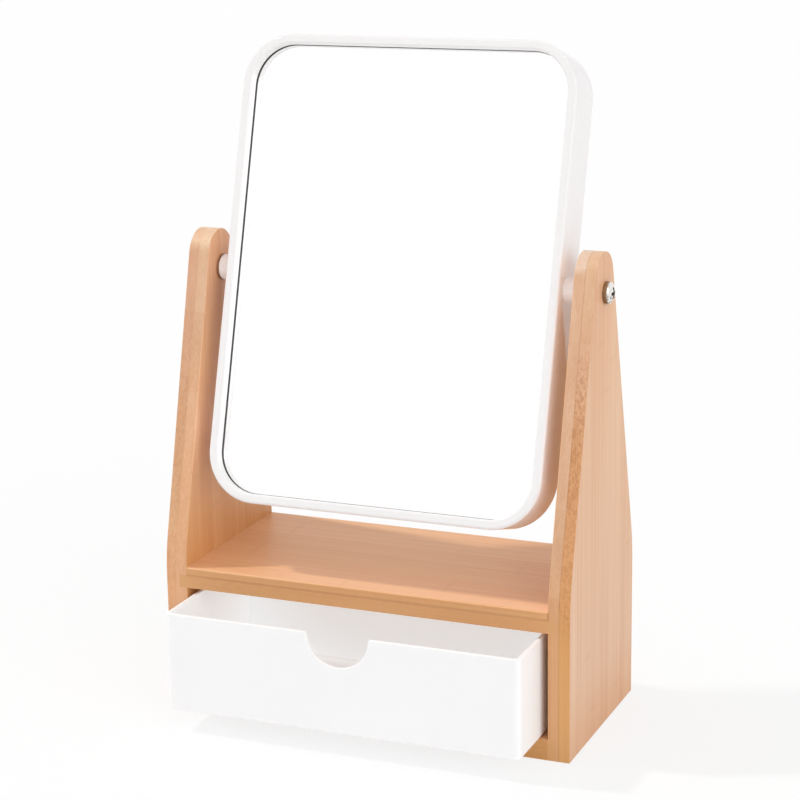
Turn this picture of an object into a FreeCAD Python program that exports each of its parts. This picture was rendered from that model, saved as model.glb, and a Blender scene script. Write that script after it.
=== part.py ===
"""Vanity mirror on a bamboo stand with one pull-out drawer.

Frame, in millimetres: +X to the right, +Y to the back, +Z up. The origin is the centre of the
stand's underside, at mid depth of the panels. Each piece is one solid in parts/NODE.step.

The mirror is drawn upright, centred on its pivot axis when seen from the front, and is then leaned
back and lifted to the pivot. The drawer is drawn where it stands when it is pulled a little out.
"""
import FreeCAD
import Part
import math
import os
from FreeCAD import Vector

# ---- Stand: two tapered side panels, each laminated from an inner and an outer bamboo ply ----
STAND_WIDTH = 200.6
STAND_DEPTH = 93.4
PLY_THICKNESS = 5.25
PANEL_TOP_RADIUS = 12.6
PANEL_TOP_SETBACK = 0.5       # centre of the rounded top, behind mid depth
PANEL_ABOVE_PIVOT = 18.5      # from the pivot axis to the panels' tops
SHOULDER_ABOVE_SHELF = 5.0    # the panels are straight up to here and taper above
SHOULDER_RADIUS = 80.0
OUTER_EDGE_ROUND = 0.3
INNER_EDGE_ROUND = 0.6

# ---- Boards between the panels ----
BASE_THICKNESS = 9.8
DRAWER_OPENING_HEIGHT = 50.4
SHELF_THICKNESS = 10.0
SHELF_TONGUE_THICKNESS = 6.2  # the lower part of the shelf, which enters the panels' grooves
HOUSING_DEPTH = 3.8           # how far base and shelf enter the inner plies
SHELF_EDGE_ROUND = 0.8
BACK_THICKNESS = 4.0
BACK_INSET = 4.0              # from the rear edges to the back board's rear face
BACK_GROOVE_DEPTH = 2.0

# ---- Drawer: a one-piece moulded tray ----
DRAWER_SIDE_CLEARANCE = 3.2
DRAWER_TOP_CLEARANCE = 2.8
DRAWER_FLOOR_CLEARANCE = 0.3
DRAWER_END_CLEARANCE = 0.5    # to the back board when the drawer is shut
DRAWER_PULL = 28.2            # how far the drawer stands out at rest
DRAWER_WALL = 2.0
DRAWER_CORNER_RADIUS = 3.0
DRAWER_BOTTOM_ROUND = 1.5
DRAWER_RIM_ROUND = 0.4
NOTCH_RADIUS = 15.3
NOTCH_SHOULDER_ROUND = 1.2

# ---- Mirror ----
MIRROR_TO_SHELF = 25.35       # room under the upright mirror, enough for a full turn
PIVOT_SETBACK = 1.5           # behind mid depth
LEAN_ANGLE = 16.2             # degrees, the top towards the back
MIRROR_SIDE_GAP = 7.5         # from the frame's side to the panel
MIRROR_HEIGHT = 219.7
MIRROR_DEPTH = 25.0
AXIS_BEHIND_FRONT = 11.5      # from the frame's front to the pivot axis
MIRROR_CORNER_RADIUS = 24.0
FRAME_EDGE_ROUND = 1.5
FRAME_WALL = 2.6
BEZEL_WIDTH = 4.5             # front lip, measured from the frame's side
BEZEL_DEPTH = 4.8             # from the frame's front to the glass
BEZEL_INNER_ROUND = 1.0
GLASS_THICKNESS = 2.0
GLASS_CLEARANCE = 0.4
PAD_THICKNESS = 1.6           # foam pad glued to the back of the glass
PAD_MARGIN = 20.0             # from the glass's upper and lower edges
PAD_TO_BOSS = 6.0
COVER_THICKNESS = 2.2
COVER_INSET = 0.8             # from the frame's rear edge
COVER_LEDGE = 1.2             # width of the ledge in the frame's wall that carries the cover
COVER_CLEARANCE = 0.15
RIB_THICKNESS = 1.6
RIB_SPACING_X = 40.0
RIB_SPACING_Z = 56.0

# ---- Pivot hardware, the same on both sides ----
SCREW_RADIUS = 2.5
SCREW_LENGTH = 30.0           # under the head
SCREW_TIP_CHAMFER = 0.6
SCREW_HEAD_RADIUS = 5.1
SCREW_HEAD_RIM = 1.5
SCREW_HEAD_HEIGHT = 3.8
RECESS_SPAN = 5.0
RECESS_SLOT = 1.2
RECESS_DEPTH = 2.2
PIVOT_CLEARANCE = 0.05        # radial, screw in the panel's hole
PIVOT_PLAY = 0.1              # axial, at the panel's inner and outer face
THREAD_CLEARANCE = 0.05
SPACER_RADIUS = 6.0
SPACER_BORE_CLEARANCE = 0.1
SPACER_END_ROUND = 0.9
WASHER_RADIUS = 6.3
WASHER_THICKNESS = 0.6
INSERT_RADIUS = 3.3
INSERT_LENGTH = 10.0
GLASS_TO_BOSS = 0.3
BOSS_TIP_ROOM = 0.8           # past the screw's tip
BOSS_END_WALL = 1.5

# ---- Places that follow from the sizes above ----
PANEL_THICKNESS = 2 * PLY_THICKNESS
OUTER_X = STAND_WIDTH / 2
PLY_JOINT_X = OUTER_X - PLY_THICKNESS
INNER_X = OUTER_X - PANEL_THICKNESS
FRONT_Y = -STAND_DEPTH / 2
REAR_Y = STAND_DEPTH / 2
BASE_TOP = BASE_THICKNESS
SHELF_BOTTOM = BASE_TOP + DRAWER_OPENING_HEIGHT
SHELF_TOP = SHELF_BOTTOM + SHELF_THICKNESS
HOUSING_X = INNER_X + HOUSING_DEPTH
BACK_FRONT_Y = REAR_Y - BACK_INSET - BACK_THICKNESS

DRAWER_HALF_WIDTH = INNER_X - DRAWER_SIDE_CLEARANCE
DRAWER_BOTTOM = BASE_TOP + DRAWER_FLOOR_CLEARANCE
DRAWER_TOP = SHELF_BOTTOM - DRAWER_TOP_CLEARANCE
DRAWER_LENGTH = BACK_FRONT_Y - DRAWER_END_CLEARANCE - FRONT_Y
DRAWER_FRONT_Y = FRONT_Y - DRAWER_PULL

MIRROR_HALF_WIDTH = INNER_X - MIRROR_SIDE_GAP
MIRROR_HALF_HEIGHT = MIRROR_HEIGHT / 2
PIVOT_HEIGHT = SHELF_TOP + MIRROR_TO_SHELF + MIRROR_HALF_HEIGHT
PANEL_HEIGHT = PIVOT_HEIGHT + PANEL_ABOVE_PIVOT
SHOULDER_HEIGHT = SHELF_TOP + SHOULDER_ABOVE_SHELF
MIRROR_FRONT_Y = -AXIS_BEHIND_FRONT     # in the mirror's own upright frame, like the next ones
MIRROR_REAR_Y = MIRROR_FRONT_Y + MIRROR_DEPTH
GLASS_FRONT_Y = MIRROR_FRONT_Y + BEZEL_DEPTH
GLASS_REAR_Y = GLASS_FRONT_Y + GLASS_THICKNESS
PAD_REAR_Y = GLASS_REAR_Y + PAD_THICKNESS
COVER_REAR_Y = MIRROR_REAR_Y - COVER_INSET
COVER_FRONT_Y = COVER_REAR_Y - COVER_THICKNESS
GLASS_INSET = FRAME_WALL + GLASS_CLEARANCE
BOSS_RADIUS = -GLASS_REAR_Y - GLASS_TO_BOSS     # the boss is centred on the pivot axis
COVER_EDGE_INSET = FRAME_WALL - COVER_LEDGE + COVER_CLEARANCE

HEAD_SEAT_X = OUTER_X + PIVOT_PLAY
WASHER_OUTER_X = INNER_X - PIVOT_PLAY
SPACER_OUTER_X = WASHER_OUTER_X - WASHER_THICKNESS
SCREW_TIP_X = HEAD_SEAT_X - SCREW_LENGTH
INSERT_INNER_X = MIRROR_HALF_WIDTH - INSERT_LENGTH
BOSS_BORE_END_X = min(SCREW_TIP_X, INSERT_INNER_X) - BOSS_TIP_ROOM
BOSS_END_X = BOSS_BORE_END_X - BOSS_END_WALL
PAD_HALF_WIDTH = BOSS_END_X - PAD_TO_BOSS
PAD_HALF_HEIGHT = MIRROR_HALF_HEIGHT - GLASS_INSET - PAD_MARGIN

CUT_MARGIN = 1.0              # how far a cutting solid runs past the face it opens


# ---- Shape helpers ----
def block(x0, x1, y0, y1, z0, z1):
    """Box between two corners, whichever way round each pair is given."""
    low = Vector(min(x0, x1), min(y0, y1), min(z0, z1))
    return Part.makeBox(abs(x1 - x0), abs(y1 - y0), abs(z1 - z0), low)


def rod(radius, x0, x1):
    """Cylinder about the pivot axis, from x0 to x1, in the mirror's own frame."""
    return Part.makeCylinder(radius, abs(x1 - x0), Vector(min(x0, x1), 0, 0), Vector(1, 0, 0))


def rounded_wire(corners, place):
    """Closed wire through corners (u, v, radius), each rounded by a tangent arc.

    place turns a pair (u, v) into a point in space.
    """
    entries = []
    for i, (u, v, radius) in enumerate(corners):
        before, after = corners[i - 1], corners[(i + 1) % len(corners)]
        to_before = math.atan2(before[1] - v, before[0] - u)
        to_after = math.atan2(after[1] - v, after[0] - u)
        half = abs((to_after - to_before + math.pi) % (2 * math.pi) - math.pi) / 2
        middle = math.atan2(math.sin(to_before) + math.sin(to_after),
                            math.cos(to_before) + math.cos(to_after))
        reach = radius / math.tan(half)
        apex = radius / math.sin(half) - radius
        entries.append((
            (u + reach * math.cos(to_before), v + reach * math.sin(to_before)),
            (u + apex * math.cos(middle), v + apex * math.sin(middle)),
            (u + reach * math.cos(to_after), v + reach * math.sin(to_after)),
            radius))
    edges = []
    for i, (start, arc_middle, end, radius) in enumerate(entries):
        if radius > 0:
            edges.append(Part.Arc(place(*start), place(*arc_middle), place(*end)).toShape())
        following = entries[(i + 1) % len(entries)][0]
        edges.append(Part.LineSegment(place(*end), place(*following)).toShape())
    return Part.Wire(edges)


def plate(half_width, half_height, radius, y0, y1):
    """Upright plate with rounded corners, its middle on the pivot axis, from y0 back to y1."""
    corners = [(-half_width, -half_height, radius), (half_width, -half_height, radius),
               (half_width, half_height, radius), (-half_width, half_height, radius)]
    wire = rounded_wire(corners, lambda u, v: Vector(u, y0, v))
    return Part.Face(wire).extrude(Vector(0, y1 - y0, 0))


def inset_plate(inset, y0, y1):
    """Plate whose outline lies inside the mirror frame's outline by inset."""
    return plate(MIRROR_HALF_WIDTH - inset, MIRROR_HALF_HEIGHT - inset,
                 MIRROR_CORNER_RADIUS - inset, y0, y1)


def edges_on_plane(shape, axis, value):
    """Edges of shape that lie wholly where the coordinate named axis has the value."""
    found = []
    for edge in shape.Edges:
        low = getattr(edge.BoundBox, axis + "Min")
        high = getattr(edge.BoundBox, axis + "Max")
        if abs(low - value) < 1e-4 and abs(high - value) < 1e-4:
            found.append(edge)
    return found


def edges_along(shape, axis):
    """Straight edges of shape that run along the axis."""
    return [e for e in shape.Edges if isinstance(e.Curve, Part.Line) and len(e.Vertexes) == 2
            and abs(abs(e.tangentAt(e.FirstParameter).dot(axis)) - 1) < 1e-6]


def mirrored(shape):
    """The same piece on the left side."""
    return shape.mirror(Vector(0, 0, 0), Vector(1, 0, 0))


def leaned(shape):
    """Moves a piece from the mirror's upright frame to its leaned place on the stand."""
    placed = shape.copy()
    placed.rotate(Vector(0, 0, 0), Vector(1, 0, 0), -LEAN_ANGLE)
    placed.translate(Vector(0, PIVOT_SETBACK, PIVOT_HEIGHT))
    return placed


# ---- Stand ----
def panel_wire(x):
    """Side panel's outline: straight sides, then two slopes tangent to the rounded top.

    The slopes are carried on past the rounded top until they meet.
    """
    rise = PANEL_HEIGHT - PANEL_TOP_RADIUS - SHOULDER_HEIGHT

    def steepness(run):
        return math.tan(math.atan2(rise, run) + math.asin(PANEL_TOP_RADIUS / math.hypot(rise, run)))

    front = steepness(PANEL_TOP_SETBACK - FRONT_Y)
    rear = steepness(REAR_Y - PANEL_TOP_SETBACK)
    meet_y = (rear * REAR_Y + front * FRONT_Y) / (rear + front)
    meet_z = SHOULDER_HEIGHT + rear * (REAR_Y - meet_y)
    corners = [(FRONT_Y, 0, 0), (REAR_Y, 0, 0), (REAR_Y, SHOULDER_HEIGHT, SHOULDER_RADIUS),
               (meet_y, meet_z, PANEL_TOP_RADIUS), (FRONT_Y, SHOULDER_HEIGHT, SHOULDER_RADIUS)]
    return rounded_wire(corners, lambda u, v: Vector(x, u, v))


def pivot_hole():
    """Cutter for the screw's hole in the right panel."""
    hole = rod(SCREW_RADIUS + PIVOT_CLEARANCE, INNER_X - CUT_MARGIN, OUTER_X + CUT_MARGIN)
    hole.translate(Vector(0, PIVOT_SETBACK, PIVOT_HEIGHT))
    return hole


def outer_ply():
    ply = Part.Face(panel_wire(PLY_JOINT_X)).extrude(Vector(PLY_THICKNESS, 0, 0))
    ply = ply.makeFillet(OUTER_EDGE_ROUND, edges_on_plane(ply, "X", OUTER_X))
    return ply.cut(pivot_hole())


def inner_ply():
    """Inner ply with the housings of the base, the shelf and the back board."""
    ply = Part.Face(panel_wire(INNER_X)).extrude(Vector(PLY_THICKNESS, 0, 0))
    ply = ply.makeFillet(INNER_EDGE_ROUND, edges_on_plane(ply, "X", INNER_X))
    base_housing = block(INNER_X - CUT_MARGIN, HOUSING_X, FRONT_Y - CUT_MARGIN, REAR_Y + CUT_MARGIN,
                         -CUT_MARGIN, BASE_TOP)
    shelf_housing = block(INNER_X - CUT_MARGIN, HOUSING_X, FRONT_Y - CUT_MARGIN, REAR_Y + CUT_MARGIN,
                          SHELF_BOTTOM, SHELF_BOTTOM + SHELF_TONGUE_THICKNESS)
    for cutter in (base_housing, shelf_housing, back_board(), pivot_hole()):
        ply = ply.cut(cutter)
    return ply


def base_board():
    board = block(-HOUSING_X, HOUSING_X, FRONT_Y, REAR_Y, 0, BASE_TOP)
    return board.cut(back_board())


def shelf_board():
    """Shelf whose lower part runs on into the panels as tongues."""
    upper = block(-INNER_X, INNER_X, FRONT_Y, REAR_Y, SHELF_BOTTOM, SHELF_TOP)
    top_edges = edges_on_plane(upper, "Z", SHELF_TOP)
    long_edges = [e for e in edges_along(upper, Vector(1, 0, 0)) if any(e.isSame(t) for t in top_edges)]
    upper = upper.makeFillet(SHELF_EDGE_ROUND, long_edges)
    tongue = block(-HOUSING_X, HOUSING_X, FRONT_Y, REAR_Y,
                   SHELF_BOTTOM, SHELF_BOTTOM + SHELF_TONGUE_THICKNESS)
    return upper.fuse(tongue).removeSplitter().cut(back_board())


def back_board():
    """Thin board that closes the drawer bay and stops the drawer, grooved in on all four sides."""
    return block(-INNER_X - BACK_GROOVE_DEPTH, INNER_X + BACK_GROOVE_DEPTH,
                 BACK_FRONT_Y, BACK_FRONT_Y + BACK_THICKNESS,
                 BASE_TOP - BACK_GROOVE_DEPTH, SHELF_BOTTOM + BACK_GROOVE_DEPTH)


# ---- Drawer ----
def drawer_tray():
    """Open tray with a half-round finger notch in the middle of its front wall."""
    rear_y = DRAWER_FRONT_Y + DRAWER_LENGTH
    tray = block(-DRAWER_HALF_WIDTH, DRAWER_HALF_WIDTH, DRAWER_FRONT_Y, rear_y, DRAWER_BOTTOM, DRAWER_TOP)
    tray = tray.makeFillet(DRAWER_CORNER_RADIUS, edges_along(tray, Vector(0, 0, 1)))
    tray = tray.makeFillet(DRAWER_BOTTOM_ROUND, edges_on_plane(tray, "Z", DRAWER_BOTTOM))
    floor = DRAWER_BOTTOM + DRAWER_WALL
    hollow = block(-DRAWER_HALF_WIDTH + DRAWER_WALL, DRAWER_HALF_WIDTH - DRAWER_WALL,
                   DRAWER_FRONT_Y + DRAWER_WALL, rear_y - DRAWER_WALL, floor, DRAWER_TOP + CUT_MARGIN)
    inner_radius = DRAWER_CORNER_RADIUS - DRAWER_WALL
    hollow = hollow.makeFillet(inner_radius, edges_along(hollow, Vector(0, 0, 1)))
    hollow = hollow.makeFillet(inner_radius / 2, edges_on_plane(hollow, "Z", floor))
    tray = tray.cut(hollow)
    notch = Part.makeCylinder(NOTCH_RADIUS, DRAWER_WALL + 2 * CUT_MARGIN,
                              Vector(0, DRAWER_FRONT_Y - CUT_MARGIN, DRAWER_TOP), Vector(0, 1, 0))
    tray = tray.cut(notch)
    shoulders = [e for e in edges_along(tray, Vector(0, 1, 0))
                 if abs(abs(e.CenterOfMass.x) - NOTCH_RADIUS) < 1e-3]
    tray = tray.makeFillet(NOTCH_SHOULDER_ROUND, shoulders)
    return tray.makeFillet(DRAWER_RIM_ROUND, edges_on_plane(tray, "Z", DRAWER_TOP))


# ---- Mirror, in its own upright frame ----
def insert_boss():
    """Boss behind the frame's right wall that holds the threaded insert."""
    return rod(BOSS_RADIUS, BOSS_END_X, MIRROR_HALF_WIDTH - FRAME_WALL / 2)


def boss_bore():
    """Stepped bore: the insert's seat, then room for the screw's tip."""
    seat = rod(INSERT_RADIUS, INSERT_INNER_X, MIRROR_HALF_WIDTH + CUT_MARGIN)
    tip_room = rod(SCREW_RADIUS + SPACER_BORE_CLEARANCE, BOSS_BORE_END_X, MIRROR_HALF_WIDTH)
    return seat.fuse(tip_room)


def mirror_frame():
    """Moulded ring: side wall, front lip over the glass, rear ledge for the cover, two bosses."""
    ring = inset_plate(0, MIRROR_FRONT_Y, MIRROR_REAR_Y)
    outline = edges_on_plane(ring, "Y", MIRROR_FRONT_Y) + edges_on_plane(ring, "Y", MIRROR_REAR_Y)
    ring = ring.makeFillet(FRAME_EDGE_ROUND, outline)
    ring = ring.cut(inset_plate(BEZEL_WIDTH, MIRROR_FRONT_Y - CUT_MARGIN, GLASS_FRONT_Y + CUT_MARGIN))
    lip_edges = [e for e in edges_on_plane(ring, "Y", MIRROR_FRONT_Y)
                 if abs(e.CenterOfMass.x) < MIRROR_HALF_WIDTH - BEZEL_WIDTH + 1e-3
                 and abs(e.CenterOfMass.z) < MIRROR_HALF_HEIGHT - BEZEL_WIDTH + 1e-3]
    ring = ring.makeFillet(BEZEL_INNER_ROUND, lip_edges)
    ring = ring.cut(inset_plate(FRAME_WALL, GLASS_FRONT_Y, MIRROR_REAR_Y + CUT_MARGIN))
    ring = ring.cut(inset_plate(FRAME_WALL - COVER_LEDGE, COVER_FRONT_Y, MIRROR_REAR_Y + CUT_MARGIN))
    for place in (lambda s: s, mirrored):
        ring = ring.fuse(place(insert_boss())).cut(place(boss_bore()))
    return ring


def mirror_glass():
    return inset_plate(GLASS_INSET, GLASS_FRONT_Y, GLASS_REAR_Y)


def foam_pad():
    return block(-PAD_HALF_WIDTH, PAD_HALF_WIDTH, GLASS_REAR_Y, PAD_REAR_Y,
                 -PAD_HALF_HEIGHT, PAD_HALF_HEIGHT)


def back_cover():
    """Cover set into the rear of the frame, with ribs that press on the foam pad."""
    cover = inset_plate(COVER_EDGE_INSET, COVER_FRONT_Y, COVER_REAR_Y)
    half_rib = RIB_THICKNESS / 2
    for step in (-1, 0, 1):
        x, z = step * RIB_SPACING_X, step * RIB_SPACING_Z
        upright = block(x - half_rib, x + half_rib, PAD_REAR_Y, COVER_FRONT_Y,
                        -PAD_HALF_HEIGHT, PAD_HALF_HEIGHT)
        level = block(-PAD_HALF_WIDTH, PAD_HALF_WIDTH, PAD_REAR_Y, COVER_FRONT_Y, z - half_rib, z + half_rib)
        cover = cover.fuse([upright, level])
    return cover.removeSplitter()


# ---- Pivot hardware on the right, in the mirror's own frame ----
def threaded_insert():
    body = rod(INSERT_RADIUS, INSERT_INNER_X, MIRROR_HALF_WIDTH)
    return body.cut(rod(SCREW_RADIUS + THREAD_CLEARANCE, INSERT_INNER_X - CUT_MARGIN,
                        MIRROR_HALF_WIDTH + CUT_MARGIN))


def pivot_spacer():
    """White sleeve that keeps the mirror off the panel, its end rounded at the panel."""
    sleeve = rod(SPACER_RADIUS, MIRROR_HALF_WIDTH, SPACER_OUTER_X)
    sleeve = sleeve.makeFillet(SPACER_END_ROUND, edges_on_plane(sleeve, "X", SPACER_OUTER_X))
    return sleeve.cut(rod(SCREW_RADIUS + SPACER_BORE_CLEARANCE, MIRROR_HALF_WIDTH - CUT_MARGIN,
                          SPACER_OUTER_X + CUT_MARGIN))


def friction_washer():
    disc = rod(WASHER_RADIUS, SPACER_OUTER_X, WASHER_OUTER_X)
    return disc.cut(rod(SCREW_RADIUS + SPACER_BORE_CLEARANCE, SPACER_OUTER_X - CUT_MARGIN,
                        WASHER_OUTER_X + CUT_MARGIN))


def pivot_screw():
    """Pan-head machine screw: the head outside the panel, the tip inside the frame's boss."""
    shank = rod(SCREW_RADIUS, SCREW_TIP_X, HEAD_SEAT_X)
    shank = shank.makeChamfer(SCREW_TIP_CHAMFER, edges_on_plane(shank, "X", SCREW_TIP_X))
    rim_x = HEAD_SEAT_X + SCREW_HEAD_RIM
    top_x = HEAD_SEAT_X + SCREW_HEAD_HEIGHT
    axis_seat, axis_top = Vector(HEAD_SEAT_X, 0, 0), Vector(top_x, 0, 0)
    rim_seat = Vector(HEAD_SEAT_X, SCREW_HEAD_RADIUS, 0)
    rim_top = Vector(rim_x, SCREW_HEAD_RADIUS, 0)
    dome_middle = Vector(rim_x + (top_x - rim_x) * math.sin(math.pi / 4),
                         SCREW_HEAD_RADIUS * math.cos(math.pi / 4), 0)
    outline = Part.Wire([
        Part.LineSegment(axis_seat, rim_seat).toShape(),
        Part.LineSegment(rim_seat, rim_top).toShape(),
        Part.Arc(rim_top, dome_middle, axis_top).toShape(),
        Part.LineSegment(axis_top, axis_seat).toShape()])
    head = Part.Face(outline).revolve(Vector(0, 0, 0), Vector(1, 0, 0), 360)
    floor_x = top_x - RECESS_DEPTH
    half_span, half_slot = RECESS_SPAN / 2, RECESS_SLOT / 2
    recess = block(floor_x, top_x + CUT_MARGIN, -half_span, half_span, -half_slot, half_slot)
    recess = recess.fuse(block(floor_x, top_x + CUT_MARGIN, -half_slot, half_slot, -half_span, half_span))
    return shank.fuse(head.cut(recess)).removeSplitter()


# ---- The set of pieces ----
def all_pieces():
    """Every node's name and solid, in its place at rest."""
    pieces = {
        "side_panel_right_outer": outer_ply(),
        "side_panel_right_inner": inner_ply(),
        "side_panel_left_outer": mirrored(outer_ply()),
        "side_panel_left_inner": mirrored(inner_ply()),
        "base_board": base_board(),
        "shelf_board": shelf_board(),
        "back_board": back_board(),
        "drawer_tray": drawer_tray(),
        "mirror_frame": leaned(mirror_frame()),
        "mirror_glass": leaned(mirror_glass()),
        "foam_pad": leaned(foam_pad()),
        "back_cover": leaned(back_cover()),
    }
    hardware = {"threaded_insert": threaded_insert(), "pivot_spacer": pivot_spacer(),
                "friction_washer": friction_washer(), "pivot_screw": pivot_screw()}
    for name, piece in hardware.items():
        pieces[name + "_right"] = leaned(piece)
        pieces[name + "_left"] = leaned(mirrored(piece))
    return pieces


def main():
    os.makedirs("parts", exist_ok=True)
    for name, shape in all_pieces().items():
        solid = shape.Solids[0]
        if len(shape.Solids) != 1 or not solid.isValid():
            raise ValueError(name + " is not one valid solid")
        solid.exportStep("parts/" + name + ".step")
        box = solid.BoundBox
        print("%-24s %9.0f mm3  %7.1f x %6.1f x %6.1f" % (name, solid.Volume, box.XLength,
                                                         box.YLength, box.ZLength))


main()
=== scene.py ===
"""Dressed model of a vanity mirror on a bamboo stand with a pull-out drawer.

Lengths are written in millimetres, save where a comment says metres, and turned to metres where a
mesh, a material or the camera is made. The frame is the CAD model's: +X to the right, +Y to the
back, +Z up, with the origin at the centre of the stand's underside.
"""
import math

import bmesh
import bpy
import numpy as np
from mathutils import Matrix, Vector

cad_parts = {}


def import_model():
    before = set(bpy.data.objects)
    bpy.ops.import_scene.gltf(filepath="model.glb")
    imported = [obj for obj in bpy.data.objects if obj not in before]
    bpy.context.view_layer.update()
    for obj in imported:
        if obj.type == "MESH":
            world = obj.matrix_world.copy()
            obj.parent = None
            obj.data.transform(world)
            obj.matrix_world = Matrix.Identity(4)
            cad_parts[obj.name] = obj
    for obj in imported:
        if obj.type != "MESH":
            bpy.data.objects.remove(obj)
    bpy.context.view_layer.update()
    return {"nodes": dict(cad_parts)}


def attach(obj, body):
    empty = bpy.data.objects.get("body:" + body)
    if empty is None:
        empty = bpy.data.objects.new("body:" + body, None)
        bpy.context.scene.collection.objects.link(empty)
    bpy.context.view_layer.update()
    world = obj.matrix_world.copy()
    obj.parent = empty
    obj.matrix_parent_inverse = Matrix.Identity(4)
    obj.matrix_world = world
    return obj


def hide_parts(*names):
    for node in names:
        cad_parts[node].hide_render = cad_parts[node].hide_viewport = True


MM = 0.001
RIGHT, BACK, UP = (1, 0, 0), (0, 1, 0), (0, 0, 1)
SIDE_NAMES = {1: "right", -1: "left"}

# ---- Sizes shared with the solids ----
PLY_THICKNESS = 5.25
OUTER_X = 100.3
PLY_JOINT_X = OUTER_X - PLY_THICKNESS
INNER_X = OUTER_X - 2 * PLY_THICKNESS
STAND_HEIGHT = 223.9
FRONT_Y = -46.7
SHELF_JOINT_Z = 66.4

DRAWER_HALF_WIDTH = INNER_X - 3.2
DRAWER_FRONT_Y = -74.9
DRAWER_REAR_Y = 10.0
DRAWER_BOTTOM = 10.1
DRAWER_TOP = 57.4
DRAWER_WALL = 2.0
DRAWER_CORNER = 3.0
DRAWER_BOTTOM_ROUND = 1.5
DRAWER_FLOOR_ROUND = 0.9
DRAWER_RIM_ROUND = 0.4
NOTCH_RADIUS = 15.3
NOTCH_SHOULDER = 1.2

# y and z of the mirror's pieces are measured from the pivot, in the mirror's own upright frame
PIVOT_Y = 1.5
PIVOT_Z = 205.4
LEAN = math.radians(16.2)
MIRROR_HALF_WIDTH = INNER_X - 7.5
MIRROR_HALF_HEIGHT = 109.85
MIRROR_CORNER = 24.0
MIRROR_FRONT = -11.5
MIRROR_REAR = 13.5
FRAME_ROUND = 1.5
FRAME_ROUND_END = 110.0       # degrees, where the rear edge's round ends
FRAME_WALL = 2.6
BEZEL_WIDTH = 4.5
BEZEL_DEPTH = 4.8
BEZEL_ROUND = 1.0
GLASS_FRONT = MIRROR_FRONT + BEZEL_DEPTH
GLASS_THICKNESS = 2.0
GLASS_INSET = 3.0
GLASS_BEVEL = 0.2
SILVER_DEPTH = 1.0            # how far down in the glass its silvering appears
SHADE_STRIP_SHOWING = 0.06           # how much of the black strip the lip leaves open
SHADE_STRIP_GAP = 0.05
COVER_REAR = MIRROR_REAR - 0.8
COVER_FRONT = COVER_REAR - 2.2
COVER_SEAT = 1.4
COVER_INSET = 1.55
COVER_ROUND = 0.6
LEDGE_DROP = 0.25             # how far below the frame's rearmost line its ledge begins

SPACER_RADIUS = 6.0
SPACER_ROUND = 0.9
WASHER_RADIUS = 6.12
WASHER_BEVEL = 0.15
WASHER_OUTER_X = INNER_X - 0.1
SPACER_OUTER_X = WASHER_OUTER_X - 0.6
SCREW_RADIUS = 2.5
BORE_RADIUS = SCREW_RADIUS + 0.1
HEAD_SEAT_X = OUTER_X + 0.1
HEAD_RADIUS = 5.1
HEAD_BEVEL = 0.25
HEAD_RIM = 1.5
HEAD_HEIGHT = 3.8
TIP_X = HEAD_SEAT_X - 30.0
TIP_LENGTH, TIP_RADIUS = 0.6, 1.9
RECESS_HALF_SPAN = 2.6
RECESS_HALF_SLOT = 0.7
RECESS_DEPTH = 2.2
RECESS_END = 0.15             # share of its depth that the recess still has at the slots' ends
RECESS_WALL = 0.06            # how far the recess's walls lean out
RECESS_TURN = 20.0            # degrees, where the screws happened to stop

# ---- How finely surfaces are drawn ----
WELD, MELT = 1e-7, 1e-8       # points nearer than this are one, and shorter edges go, in metres
TOUCH = 1e-6                  # margin for points that lie on a limit
SHARP_ANGLE, SCREW_SHARP_ANGLE = 35.0, 40.0   # degrees
MIRROR_POINTS = (28, 12)      # points to a corner and between two corners of the outline
DRAWER_POINTS = (12, 10)      # likewise
FRAME_SIDE_LINES = (-4, 0, 4)             # lines round the frame's flat side
DRAWER_WALL_LINES = (0.3, 0.6, 0.85)      # lines round the drawer's walls, shares of their height
STRAIGHT_POINTS, SHOULDER_POINTS, BOWL_POINTS = 14, 8, 28   # along half of the notched rim
TURNED_POINTS = 64
HEAD_RINGS = 9
# lines of the grid in the middle of a screw's head, on one side of its own middle
HEAD_LINES = (0, 0.3, RECESS_HALF_SLOT, RECESS_HALF_SLOT + RECESS_WALL, 1.0, 1.5, 2.0,
              RECESS_HALF_SPAN, RECESS_HALF_SPAN + RECESS_WALL, 3.0)


# ---- Meshes ----
def mesh_piece(name, points, faces, sharp_angle=SHARP_ANGLE):
    """New object from an array of points in millimetres and a list of faces, smooth where it bends
    gently and sharp where two faces meet at more than sharp_angle degrees."""
    mesh = bpy.data.meshes.new(name)
    mesh.from_pydata((np.asarray(points, float).reshape(-1, 3) * MM).tolist(), [], faces)
    mesh.validate()
    editable = bmesh.new()
    editable.from_mesh(mesh)
    bmesh.ops.remove_doubles(editable, verts=editable.verts, dist=WELD)
    bmesh.ops.dissolve_degenerate(editable, edges=editable.edges, dist=MELT)
    bmesh.ops.recalc_face_normals(editable, faces=editable.faces)
    editable.to_mesh(mesh)
    editable.free()
    mesh.shade_smooth()
    mesh.set_sharp_from_angle(angle=math.radians(sharp_angle))
    piece = bpy.data.objects.new(name, mesh)
    bpy.context.scene.collection.objects.link(piece)
    weighted = piece.modifiers.new("flat faces stay flat", "WEIGHTED_NORMAL")
    weighted.keep_sharp = True
    return piece


def grid_faces(rows, columns, start=0, wrap_rows=False, wrap_columns=False):
    """Quads of a grid whose point (i, j) has the number start + i * columns + j."""
    i = np.arange(rows if wrap_rows else rows - 1)
    j = np.arange(columns if wrap_columns else columns - 1)
    i, j = [a.ravel() for a in np.meshgrid(i, j, indexing="ij")]
    i_next, j_next = (i + 1) % rows, (j + 1) % columns
    quads = np.stack([i * columns + j, i * columns + j_next,
                      i_next * columns + j_next, i_next * columns + j], axis=1)
    return (quads + start).tolist()


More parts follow.
